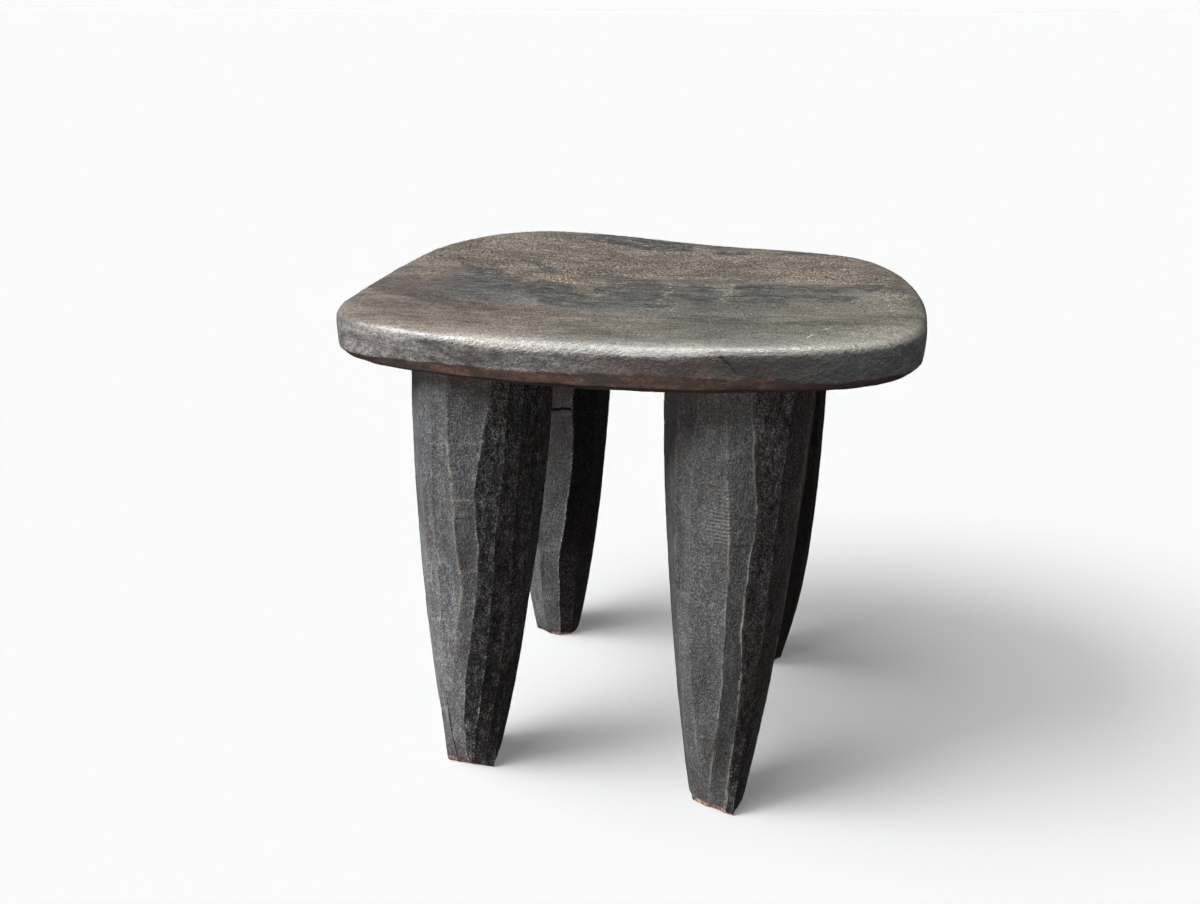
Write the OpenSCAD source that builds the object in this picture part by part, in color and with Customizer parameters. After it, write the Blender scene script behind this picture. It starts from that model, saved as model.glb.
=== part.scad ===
// A low stool as a carver makes it from one block of wood: a dished seat on four stout legs that are
// cut to facets with an adze and taper to small feet. The block is divided where the seat meets the legs.
// +X runs to the right end of the seat, +Y to its back edge and +Z up. The origin is on the floor,
// under the middle of the seat.

/* [Seat] */
// Length of the seat from end to end
seat_length = 358; // [298:2:440]
// Depth of the seat from front to back
seat_depth = 302; // [250:2:362]
// Height of the bottom of the dish above the floor
seat_height = 300; // [240:2:360]
// Thickness of the seat at the bottom of the dish
middle_thickness = 22; // [18:1:28]
// Height of the seat's edge, with the worn top and the bevel below
edge_thickness = 28; // [24:1:34]
// How far the worn top edge reaches in
worn_edge = 9; // [4:1:14]
// How far the bevel below the side face reaches in
bevel_inset = 10; // [5:1:14]
// Height of that bevel
bevel_height = 7; // [4:1:10]

/* [Dish] */
// Rise of the front and back edges above the middle
side_rise = 8; // [3:0.5:16]
// Rise of the two ends above the middle
end_rise = 2.5; // [0:0.5:12]
// How much higher the seat stands at its right end than at its left end
tilt = 8; // [0:1:14]
// How much higher the seat stands at its back edge than at its front edge
lean = 5; // [0:1:10]

/* [Front left leg] */
// Thickness at the top
front_left_top = 82; // [64:1:96]
// Thickness at the foot
front_left_foot = 35; // [28:1:44]
// Clear distance from the left end of the seat
front_left_end = 64; // [55:1:80]
// Clear distance from the front edge of the seat
front_left_edge = 24; // [15:1:34]
// How far the foot stands out to the left of the leg's top
front_left_splay = 11; // [-6:1:20]
// How far the foot stands out to the front
front_left_reach = 8; // [-6:1:20]
// How long the leg stays thick before it tapers
front_left_fullness = 0.8; // [0.5:0.05:1.4]

/* [Front right leg] */
// Thickness at the top
front_right_top = 86; // [64:1:96]
// Thickness at the foot
front_right_foot = 34; // [28:1:44]
// Clear distance from the right end of the seat
front_right_end = 55.5; // [50:0.5:80]
// Clear distance from the front edge of the seat
front_right_edge = 23; // [15:1:34]
// How far the foot stands out to the right of the leg's top
front_right_splay = -2.5; // [-10:0.5:20]
// How far the foot stands out to the front
front_right_reach = 14; // [-6:1:20]
// How long the leg stays thick before it tapers
front_right_fullness = 0.65; // [0.5:0.05:1.4]

/* [Back left leg] */
// Thickness at the top
back_left_top = 81; // [64:1:96]
// Thickness at the foot
back_left_foot = 33; // [28:1:44]
// Clear distance from the left end of the seat
back_left_end = 59; // [52:1:80]
// Clear distance from the back edge of the seat
back_left_edge = 23; // [15:1:34]
// How far the foot stands out to the left of the leg's top
back_left_splay = 1; // [-10:1:20]
// How far the foot stands out to the back
back_left_reach = 3; // [-6:1:20]
// How long the leg stays thick before it tapers
back_left_fullness = 1.0; // [0.5:0.05:1.4]

/* [Back right leg] */
// Thickness at the top
back_right_top = 81; // [64:1:96]
// Thickness at the foot
back_right_foot = 35; // [28:1:44]
// Clear distance from the right end of the seat
back_right_end = 57.5; // [50:0.5:80]
// Clear distance from the back edge of the seat
back_right_edge = 42; // [30:1:50]
// How far the foot stands out to the right of the leg's top
back_right_splay = 1.5; // [-10:0.5:20]
// How far the foot stands out to the back
back_right_reach = 20; // [0:1:26]
// How long the leg stays thick before it tapers
back_right_fullness = 1.35; // [0.5:0.05:1.4]

/* [Adze cuts] */
// Number of facets around each leg
facets = 11; // [8:1:16]
// How unevenly the facets are cut, in degrees
facet_wander = 6; // [0:1:8]
// How square each foot is, as a share of its radius
foot_squareness = 0.1; // [0:0.01:0.15]
// Rounding at the edge of each foot
foot_rounding = 3; // [1:0.5:5]

/* [Hidden] */
seat_colour = [0.43, 0.37, 0.32];
leg_colour = [0.23, 0.21, 0.19];
// The seat's outline, counter-clockwise from the right end, as shares of half its length and depth
OUTLINE = [
    [0.98, 0.00], [0.83, 0.58], [0.51, 0.80], [-0.02, 0.93], [-0.62, 0.99], [-0.93, 0.66],
    [-0.99, -0.01], [-0.88, -0.69], [-0.47, -0.94], [0.00, -1.00], [0.46, -0.96], [0.93, -0.69],
];
curve_steps = 6;
top_rings = 7;
worn_steps = 5;
leg_levels = 12;
// Room kept between a leg's top and the edge of the flat underside
leg_margin = 1;
// The flat underside starts this far in from the outline, just behind the bevel
underside_inset = bevel_inset + 2;

// A smooth closed curve through points p, with the given number of steps between two of them
function between(a, b, c, d, t) =
    0.5 * (2 * b + (c - a) * t + (2 * a - 5 * b + 4 * c - d) * t * t + (3 * b - a - 3 * c + d) * t * t * t);
function closed_curve(p, steps) = [
    for (i = [0 : len(p) - 1], j = [0 : steps - 1])
        between(p[(i + len(p) - 1) % len(p)], p[i], p[(i + 1) % len(p)], p[(i + 2) % len(p)], j / steps)
];

// Stretches a list of points to fill a box of the given size about the origin
function fitted(p, size) =
    let (xs = [for (q = p) q.x], ys = [for (q = p) q.y])
    [for (q = p) [
        ((q.x - min(xs)) / (max(xs) - min(xs)) - 0.5) * size.x,
        ((q.y - min(ys)) / (max(ys) - min(ys)) - 0.5) * size.y
    ]];

rim = fitted(closed_curve(OUTLINE, curve_steps), [seat_length, seat_depth]);

// How far the whole seat is tipped up over point p
function tipped(p) = tilt * p.x / seat_length + lean * p.y / seat_depth;

// Height of the sitting surface over point p
function top_z(p) =
    let (end = 2 * p.x / seat_length, side = 2 * p.y / seat_depth)
    seat_height + tipped(p) + end_rise * end * end + side_rise * side * side;

// Height of the seat's flat underside, which the legs end in, over point p
function underside_z(p) = seat_height - middle_thickness + tipped(p);

// One ring of the seat, set in from the outline and below the sitting surface
function rim_ring(inset, drop) = [
    for (p = rim) let (q = p * (1 - inset / norm(p))) [q.x, q.y, top_z(q) - drop]
];

// One ring of the sitting surface, at a share of the way out from its middle
function top_ring(share) = [
    for (p = rim) let (q = p * (1 - worn_edge / norm(p)) * share) [q.x, q.y, top_z(q)]
];

// The edge of the flat underside
flat_edge = [for (p = rim) p * (1 - underside_inset / norm(p))];

// Moves point p towards the middle until a circle of radius r round it lies within the flat underside
function pulled_in(p, r) = min([for (q = flat_edge) norm(q - p)]) > r ? p : pulled_in(p * 0.99, r);

// A closed solid through a stack of rings, listed from the lower middle point to the upper one
module loft(low, rings, high) {
    n = len(rings[0]);
    count = len(rings);
    last = count * n + 1;
    function at(ring, i) = 1 + ring * n + i % n;
    points = concat([low], [for (ring = rings, p = ring) p], [high]);
    bottom = [for (i = [0 : n - 1]) [0, at(0, i), at(0, i + 1)]];
    sides = [
        for (ring = [0 : count - 2], i = [0 : n - 1], half = [0, 1])
            half == 0
                ? [at(ring, i), at(ring + 1, i), at(ring, i + 1)]
                : [at(ring, i + 1), at(ring + 1, i), at(ring + 1, i + 1)]
    ];
    top = [for (i = [0 : n - 1]) [last, at(count - 1, i + 1), at(count - 1, i)]];
    polyhedron(points, concat(bottom, sides, top), convexity = 4);
}

module seat() {
    below = [
        [for (p = flat_edge) [p.x, p.y, underside_z(p)]],
        rim_ring(bevel_inset, edge_thickness),
        rim_ring(bevel_inset * 0.35, edge_thickness - bevel_height * 0.4),
        rim_ring(bevel_inset * 0.05, edge_thickness - bevel_height),
    ];
    // The worn edge is a quarter of a circle
    worn = [
        for (i = [0 : worn_steps])
            let (turn = 90 * i / worn_steps)
            rim_ring(worn_edge * (1 - cos(turn)), worn_edge * (1 - sin(turn)))
    ];
    dish = [for (i = [top_rings - 1 : -1 : 1]) top_ring(i / top_rings)];
    color(seat_colour)
        loft([0, 0, underside_z([0, 0])], concat(below, worn, dish), [0, 0, seat_height]);
}

// Thickness of a leg at a share of its height: it stays full near the top, then tapers to the foot
function leg_radius(share, top, foot, fullness) =
    foot / 2 + (top - foot) / 2 * (1 - pow(max(0, 1 - share), 1 + fullness));

// A leg from the floor up to the seat's flat underside. The ridges between its facets wander as they
// rise. Position, splay and reach are measured away from the middle of the stool, towards side [x, y].
module leg(side, top, foot, end, edge, splay, reach, fullness, seed) {
    from_middle = [seat_length / 2 - end - top / 2, seat_depth / 2 - edge - top / 2];
    // Makes the polygon as thick, seen from the side, as the round leg it stands for
    corner = 2 / (1 + cos(180 / facets));
    placed = [side.x * from_middle.x, side.y * from_middle.y];
    top_at = pulled_in(placed, top / 2 * corner + leg_margin);
    foot_at = placed + [side.x * splay, side.y * reach];
    function ridge(i, share) =
        360 / facets * i + facet_wander * (sin(seed + 137 * i) + 0.8 * sin(seed + 80 * i + 200 * share));
    function ring(share, inset) =
        let (
            middle = foot_at + (top_at - foot_at) * share,
            r = leg_radius(share, top, foot, fullness) * corner - inset
        )
        [for (i = [0 : facets - 1])
            let (
                turn = ridge(i, share),
                square = 1 - foot_squareness * (1 - share) * cos(4 * turn),
                p = middle + r * square * [cos(turn), sin(turn)]
            )
            [p.x, p.y, share * underside_z(p)]];
    sole = ring(0, foot_rounding * 0.7);
    first = foot_rounding / underside_z(foot_at);
    shaft = [for (i = [0 : leg_levels]) ring(first + (1 - first) * i / leg_levels, 0)];
    color(leg_colour)
        loft([foot_at.x, foot_at.y, 0], concat([sole], shaft), [top_at.x, top_at.y, underside_z(top_at)]);
}

module leg_front_left() {
    leg([-1, -1], front_left_top, front_left_foot, front_left_end, front_left_edge,
        front_left_splay, front_left_reach, front_left_fullness, 60);
}

module leg_front_right() {
    leg([1, -1], front_right_top, front_right_foot, front_right_end, front_right_edge,
        front_right_splay, front_right_reach, front_right_fullness, 110);
}

module leg_back_left() {
    leg([-1, 1], back_left_top, back_left_foot, back_left_end, back_left_edge,
        back_left_splay, back_left_reach, back_left_fullness, 200);
}

module leg_back_right() {
    leg([1, 1], back_right_top, back_right_foot, back_right_end, back_right_edge,
        back_right_splay, back_right_reach, back_right_fullness, 290);
}

seat();
leg_front_left();
leg_front_right();
leg_back_left();
leg_back_right();
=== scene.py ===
"""A carved wooden stool: a dished, worn seat on four faceted legs that taper to squarish feet."""
import math

import bpy
import numpy as np
from mathutils import Matrix, Vector


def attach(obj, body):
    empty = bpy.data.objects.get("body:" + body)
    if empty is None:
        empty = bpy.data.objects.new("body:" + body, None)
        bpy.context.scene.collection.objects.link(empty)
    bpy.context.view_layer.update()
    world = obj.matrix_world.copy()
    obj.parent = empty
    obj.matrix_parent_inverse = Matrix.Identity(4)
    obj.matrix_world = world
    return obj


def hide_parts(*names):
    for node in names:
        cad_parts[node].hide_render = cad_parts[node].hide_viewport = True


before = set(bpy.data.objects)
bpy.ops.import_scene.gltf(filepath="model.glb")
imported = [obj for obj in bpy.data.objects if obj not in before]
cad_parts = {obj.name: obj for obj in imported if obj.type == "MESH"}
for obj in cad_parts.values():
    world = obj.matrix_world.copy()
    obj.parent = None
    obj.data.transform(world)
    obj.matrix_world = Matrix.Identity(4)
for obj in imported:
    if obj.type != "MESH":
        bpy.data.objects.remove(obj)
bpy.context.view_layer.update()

# Camera: place in mm, angles in degrees
CAMERA_PLACE = (159.84, -735.26, 468.34)
CAMERA_PITCH = 20.36
CAMERA_YAW = 14.04
CAMERA_ROLL = 0.24
CAMERA_LENS = 36
CAMERA_SENSOR = 36

# Soft distant lights: where each comes from, its apparent width in degrees, strength and colour
SUNS = {
    "key": ((-0.62, -0.33, 0.71), 29, 8.4, (0.97, 0.985, 1.0)),
    "floor_light": ((-0.5, -0.3, 0.81), 56, 8.3, (1.0, 1.0, 1.0)),
    "behind": ((0.22, 0.24, 0.94), 50, 0.8, (0.94, 0.975, 1.0)),
    "left": ((-0.72, -0.25, 0.63), 24, 4.1, (0.92, 0.965, 1.0)),
    "right": ((0.42, -0.3, 0.86), 38, 2.1, (1.0, 0.95, 0.86)),
    "overhead": ((-0.1, -0.38, 0.91), 54, 5.8, (0.94, 0.975, 1.0)),
}
# Even light from all round, and more of it from low in front, up to an angle with this cosine
FILL_COLOUR = (1.0, 0.89, 0.84, 1.0)
FILL_STRENGTH = 0.11
BOUNCE_FROM = (-0.25, -0.75, -0.61)
BOUNCE_STRENGTH = 0.9
BOUNCE_LIMIT = 0.3
BACKDROP_STRENGTH = 0.975
FLOOR_SIZE = 400000
FLOOR_REFLECTANCE = 0.19
FLOOR_GLOW = 0.185

# How light the finishes' colours are taken, and how strongly the seat and the legs shine
COLOUR_LEVEL = 0.64
SEAT_SPECULAR = 0.75
LEG_SPECULAR = 0.25

# Seat rim, from the dished top round to the flat underside: (inset from the outline, drop below the top)
SIDE_FOOT = (0.5, 19.8)
BEVEL_FOOT = (3.5, 25.2)
RIM_FOOT = (10, 28)
FLAT_INSET = 12
# The worn edge's reach in, and the power of its curve, which is another one in the middle of the front
WORN_EDGE = 9
WORN_POWER = 0.55
MIDDLE_WORN_POWER = 0.85
# How much lower the top is worn at its edge, also at the right end, and how far in that begins
EDGE_FALL = 1.2
RIGHT_EDGE_FALL = 2.0
EDGE_FALL_REACH = 28
# Rings of points down each part of the rim, and squares along the top's grid
WORN_RINGS = 16
SIDE_RINGS = 18
BEVEL_RINGS = 9
FOOT_RINGS = 6
TURN_RINGS = 3
SEAT_GRID = 150
# How far the bevel's upper edge wanders, and how much higher it lies along the seat, as x and rise
BEVEL_WANDER = 1.3
BEVEL_RAISE = [
    (-160, -1.5), (-130, -1.5), (-100, 0), (-47, 1.2),
    (20, 2.2), (88, 2.2), (124, -0.8), (152, -2.6),
]

# Legs: spacing of their rows and columns of points, and how far they reach into the seat
ROW_STEP = 1.25
FINE_ROW_STEP = 0.5
FINE_ROWS = {"leg_front_right": (180.2, 240.3), "leg_back_left": (190.2, 202.7)}
COLUMN_DEGREES = 1.7
LEG_INTO_SEAT = 2
# Tool strokes: shortest and longest, how hollow each is, and how far they differ in depth
STROKE_LENGTHS = (26, 72)
STROKE_HOLLOW = 0.3
STROKE_OFFSET = 0.34
# Heights at which the ridge angles below are given, and how high the foot's outline reaches
RIDGE_LEVELS = (0, 70, 140, 210, 280)
FOOT_BLEND_HEIGHT = 60
# How far a ridge stands out past the frame's mean radius, as a factor
RIDGE_REACH = 1.025
# Half widths of a ridge's rounding, of its pale line (worn, and on one ridge a painted highlight) and of a
# broad painted highlight along a ridge
RIDGE_ROUNDING = 1.1
PALE_RIDGE_HALF_WIDTH = 0.85
BROAD_HIGHLIGHT_HALF_WIDTH = 2.4
# Mean angle between ridges on the sides that the photo doesn't show
UNSEEN_FACET = 27

# Each leg's ridges as angles in degrees at the levels above, and its foot as (angle, radius). Also:
# lightness and slimmed (mm off the right side): low down and high up
# chipped: angles between which the foot is chipped most
# soot: real soot pools and painted shade that darken the side away from the key light: number of the ridge
# it starts at, end angle, strength; the value for the foot is a factor
# scratched: start and end angle, lowest and highest place
# pale ridges, worn and on one ridge a painted highlight, then a broad painted highlight along a ridge:
# number, lowest and highest place, strength
LEGS = {
    "leg_front_left": {
        "seed": 3,
        "lightness": (1.2, 1.14),
        "ridges": [
            (-143, -135, -132, -132, -132),
            (-124, -118, -115, -118, -116),
            (-122, -102, -88, -99, -101),
            (-97, -86, -72, -76, -63),
            (-78, -62, -57, -54, -49),
            (-50, -41, -39, -39, -38),
            (-34, -22, -18, -16, -16),
            (-6, 0, 5, 8, 8),
        ],
        "foot": [
            (-145, 19.8), (-124, 14.4), (-97, 12.2), (-78, 12.4), (-50, 15.2), (-34, 21.5),
            (-4, 17), (39, 17), (130, 18), (180, 17.5),
        ],
        "chipped": (-150, -84),
        "soot_and_painted_shade": (3, 40, 0.55),
        "soot_and_shade_at_foot": 1.35,
        "slimmed": (1.8, 0.8),
        "scratched": (-178, -92, 15, 150),
        "worn": {
            0: (30, 130, 0.5),
            1: (60, 190, 0.35),
            2: (118, 234, 1.2),
            3: (100, 200, 0.3),
            5: (20, 110, 0.2),
        },
    },
    "leg_front_right": {
        "seed": 11,
        "lightness": (0.86, 1.02),
        "ridges": [
            (-150, -143, -142, -137, -135),
            (-116, -121, -122, -119, -116),
            (-103, -87, -86, -87, -95),
            (-67, -65, -69, -66, -77),
            (-54, -46, -46, -45, -42),
            (-10, -9, -8, -13, -11),
        ],
        "foot": [
            (-156, 17.8), (-138, 15.3), (-110, 13.7), (-85, 14.6), (-67, 18), (-54, 22.2),
            (-38, 20.3), (-10, 17.8), (50, 18), (100, 16.5), (150, 17.5),
        ],
        "chipped": (-140, -66),
        "slimmed": (1.5, 3.6),
        "soot_and_painted_shade": (3, -20, 0.45),
        "soot_and_shade_at_foot": 1.5,
        "worn": {
            0: (30, 240, 0.3),
            1: (20, 110, 0.3),
            2: (10, 234, 0.65),
            3: (5, 262, 1.0),
            4: (60, 200, 0.12),
            # A painted highlight down the leg's right edge
            5: (120, 270, 0.8),
        },
        # A broad painted highlight on the same ridge
        "broad_worn": (5, 20, 275, 1.0),
    },
    "leg_back_left": {
        "seed": 23,
        "lightness": (1.25, 1.75),
        "ridges": [
            (-150, -152, -147, -149, -150),
            (-108, -104, -109, -106, -104),
            (-70, -72, -57, -56, -58),
        ],
        "foot": [(-150, 17.5), (-100, 15.5), (-45, 18), (0, 16), (45, 18), (90, 16), (135, 18), (180, 16)],
        "soot_and_painted_shade": (2, 60, 2.2),
        "soot_and_shade_at_foot": 0.55,
    },
    "leg_back_right": {
        "seed": 37,
        "lightness": (0.95, 1.0),
        "ridges": [
            (-130, -127, -131, -128, -130),
            (-72, -75, -70, -73, -71),
            (-22, -25, -20, -23, -24),
        ],
        "foot": [(-135, 18), (-90, 16), (-45, 18.5), (0, 16.5), (45, 18), (90, 16), (135, 18), (180, 16.5)],
        "slimmed": (0, 4.2),
        "soot_and_painted_shade": (1, 45, 2.3),
    },
}

# Broad patches on the seat: centre x, centre y, half length, half width, turn in degrees, strength
DARK_PATCHES = [
    (-115, 30, 19, 11, -35, 1.0),
    (-98, 6, 36, 18, -38, 0.75),
    (-112, -14, 30, 18, -30, 0.45),
    (-48, -20, 36, 19, -60, 0.85),
    (-63, 3, 14, 9, -20, 1.0),
    (-30, 34, 20, 10, -10, 0.75),
    (-78, 50, 26, 6, -42, 0.7),
    (2, 12, 28, 14, -5, 0.85),
    (5, -20, 36, 24, 0, 0.7),
    (-20, -2, 10, 7, 0, 1.1),
    (-14, -41, 20, 6, 5, 0.9),
    (20, -39, 11, 7, 0, 0.9),
    (42, -6, 22, 28, 0, 0.75),
    (78, 14, 20, 9, 5, 1.3),
    (78, -10, 24, 18, 0, 0.7),
    (110, 5, 26, 18, 0, 0.6),
    (126, -12, 12, 9, 0, 0.9),
    (148, 16, 21, 11, 0, 0.7),
    (60, -74, 30, 12, 0, 0.35),
    (112, -80, 18, 7, 5, 0.5),
    (-42, 130, 26, 15, -25, 1.4),
    (-12, 118, 30, 14, -10, 1.3),
    (-4, 86, 10, 7, 0, 0.5),
    (45, 103, 13, 8, -20, 0.7),
    (90, 107, 12, 7, 0, 0.8),
]
UMBER_PATCHES = [
    (-154, -16, 26, 24, 0, 0.8),
    (-126, -44, 40, 15, -30, 1.0),
    (-92, -64, 28, 10, -20, 1.2),
]
GREY_PATCHES = [
    (-104, -14, 46, 30, -32, 1.0),
    (-45, -42, 44, 16, -20, 0.8),
    (30, -52, 60, 14, 0, 0.6),
]
PALE_PATCHES = [
    (-56, 17, 28, 7, -32, 1.0),
    (20, -8, 3.5, 34, 5, 0.7),
    (58, -2, 3.5, 32, 0, 0.7),
    (-17, -4, 3.5, 28, -10, 0.6),
    (0, 36, 60, 5, -3, 0.5),
    (100, 30, 50, 5, -4, 0.5),
    (-148, 20, 12, 22, 20, 0.5),
    (158, -16, 10, 40, 5, 0.6),
]
# Front limit of the speckled back zone: x and y of points on it
BACK_LIMIT = [
    (-170, 45), (-130, 42), (-110, 27), (-80, 14), (-45, 6),
    (-28, 34), (0, 38), (60, 35), (160, 26),
]
# A low place in the back edge: centre x and y, half length, half width, depth
BACK_DIP = (45, 140, 60, 45, 2.2)
# Pale scratches on the top, as x and y, and a fine crack down the side face, as x and z, for y below a limit
SCRATCHES = [((116.5, -120.5), (121, -103)), ((122, -99), (128.5, -87.5))]
SIDE_CRACK = ((75, 301.5), (86, 290))
CRACK_FRONT = -125
# Pale scores on the front left leg, as x and z of both ends, and strength
LEG_SCORES = [
    ((-101, 230.5), (-63, 234.5), 0.35),
    ((-85, 197), (-67, 199), 0.45),
    ((-98, 182), (-96.5, 174), 0.6),
    ((-94, 165), (-91.5, 150), 0.7),
    ((-93, 125), (-96, 110), 0.6),
    ((-96, 218), (-94, 207), 0.3),
    ((-94, 106), (-96, 91), 0.4),
]
# Ends of the short level crack high on the back left leg's front, as height and angle
LEG_CRACK = ((195, -98), (197.5, -60))
# Spacing of the rippled grain on the front right leg
RIPPLE_LENGTH = 2.3
# Half the height over which a pale ridge line fades out at its ends, for worn lines and painted highlights
# alike
PALE_RIDGE_FADE = 8


def hashed(corner, seed):
    """A repeatable value from -1 to 1 for each lattice corner."""
    mixed = corner[0] * 73856093 ^ corner[1] * 19349663 ^ corner[2] * 83492791 ^ seed * 40503
    mixed = mixed & 0xFFFFFFFF
    mixed = (mixed ^ mixed >> 13) * 1274126177 & 0xFFFFFFFF
    mixed = (mixed ^ mixed >> 16) * 668265263 & 0xFFFFFFFF
    return (mixed ^ mixed >> 15) / 0x7FFFFFFF - 1


def noise(points, size, seed):
    """Smooth noise from -1 to 1; size is the grain in mm, one value or one for each axis."""
    spot = points / np.asarray(size, float)
    corner = np.floor(spot).astype(np.int64)
    share = spot - corner
    share = share * share * (3 - 2 * share)
    total = np.zeros(len(points))
    for dx in (0, 1):
        for dy in (0, 1):
            for dz in (0, 1):
                weight = np.ones(len(points))
                for axis, step in enumerate((dx, dy, dz)):
                    weight *= share[:, axis] if step else 1 - share[:, axis]
                total += weight * hashed((corner[:, 0] + dx, corner[:, 1] + dy, corner[:, 2] + dz), seed)
    return total


def rough(points, size, seed, octaves=3):
    """Layered noise: each layer is half the size and half the height of the one before."""
    total = np.zeros(len(points))
    for layer in range(octaves):
        total += noise(points, np.asarray(size, float) / 2**layer, seed + layer) / 2**layer
    return total


def ease(value, low, high):
    """0 below low, 1 above high, smooth between them."""
    share = np.clip((value - low) / (high - low), 0, 1)
    return share * share * (3 - 2 * share)


def within(value, low, high, soft):
    """1 between low and high, 0 outside, smooth over soft to either side of both."""
    return ease(value, low - soft, low + soft) * ease(value, high + soft, high - soft)


def cell_distance(points, size, seed):
    """Distance to the nearest of scattered points in the XY plane, in cell sizes, for scooped tool marks."""
    spot = points[:, :2] / np.asarray(size, float)
    corner = np.floor(spot).astype(np.int64)
    nearest = np.full(len(points), 9.0)
    level = np.zeros(len(points), np.int64)
    for dx in (-1, 0, 1):
        for dy in (-1, 0, 1):
            cell = (corner[:, 0] + dx, corner[:, 1] + dy, level)
            centre_x = cell[0] + 0.5 + 0.4 * hashed(cell, seed)
            centre_y = cell[1] + 0.5 + 0.4 * hashed(cell, seed + 1)
            nearest = np.minimum(nearest, np.hypot(spot[:, 0] - centre_x, spot[:, 1] - centre_y))
    return nearest


def segment_distance(points, ends):
    """Distance in mm from each point to a straight line between two ends."""
    start, end = (np.asarray(p, float) for p in ends)
    along = end - start
    share = np.clip((points - start) @ along / (along @ along), 0, 1)
    return np.linalg.norm(points - start - share[:, None] * along, axis=1)


def normals(points, quads):
    """Outward directions at the points of a quad mesh."""
    corners = [points[quads[:, k]] for k in range(4)]
    across = np.cross(corners[2] - corners[0], corners[3] - corners[1])
    total = np.zeros_like(points)
    for k in range(4):
        np.add.at(total, quads[:, k], across)
    return total / np.maximum(np.linalg.norm(total, axis=1), 1e-12)[:, None]


def node_points(name):
    """A frame node's vertices, in mm."""
    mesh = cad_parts[name].data
    places = np.zeros(len(mesh.vertices) * 3, np.float32)
    mesh.vertices.foreach_get("co", places)
    return places.reshape(-1, 3).astype(float) * 1000


def add_piece(name, points, faces, masks, material, node):
    """Makes a mesh piece that stands for a frame node; masks are values at its points."""
    mesh = bpy.data.meshes.new(name)
    mesh.from_pydata((points / 1000).tolist(), [], faces)
    mesh.shade_smooth()
    for mask, values in masks.items():
        mesh.attributes.new(mask, "FLOAT", "POINT").data.foreach_set("value", values.astype(np.float32))
    mesh.materials.append(material)
    piece = bpy.data.objects.new(name, mesh)
    bpy.context.scene.collection.objects.link(piece)
    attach(piece, "root")
    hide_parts(node)
    return piece


def linear(colour):
    """A colour of 0 to 255 screen values as the shader's linear RGBA."""
    share = np.asarray(colour, float) / 255
    low = share / 12.92
    high = ((share + 0.055) / 1.055) ** 2.4
    return (*(COLOUR_LEVEL * np.where(share <= 0.04045, low, high)), 1.0)


def add_node(tree, kind, inputs=None, **settings):
    """Makes a shader node; each input takes a number, a colour or a link from another node's output."""
    node = tree.nodes.new("ShaderNode" + kind)
    for setting, value in settings.items():
        setattr(node, setting, value)
    for place, value in (inputs or {}).items():
        if isinstance(value, bpy.types.NodeSocket):
            tree.links.new(value, node.inputs[place])
        else:
            node.inputs[place].default_value = value
    return node


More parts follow.
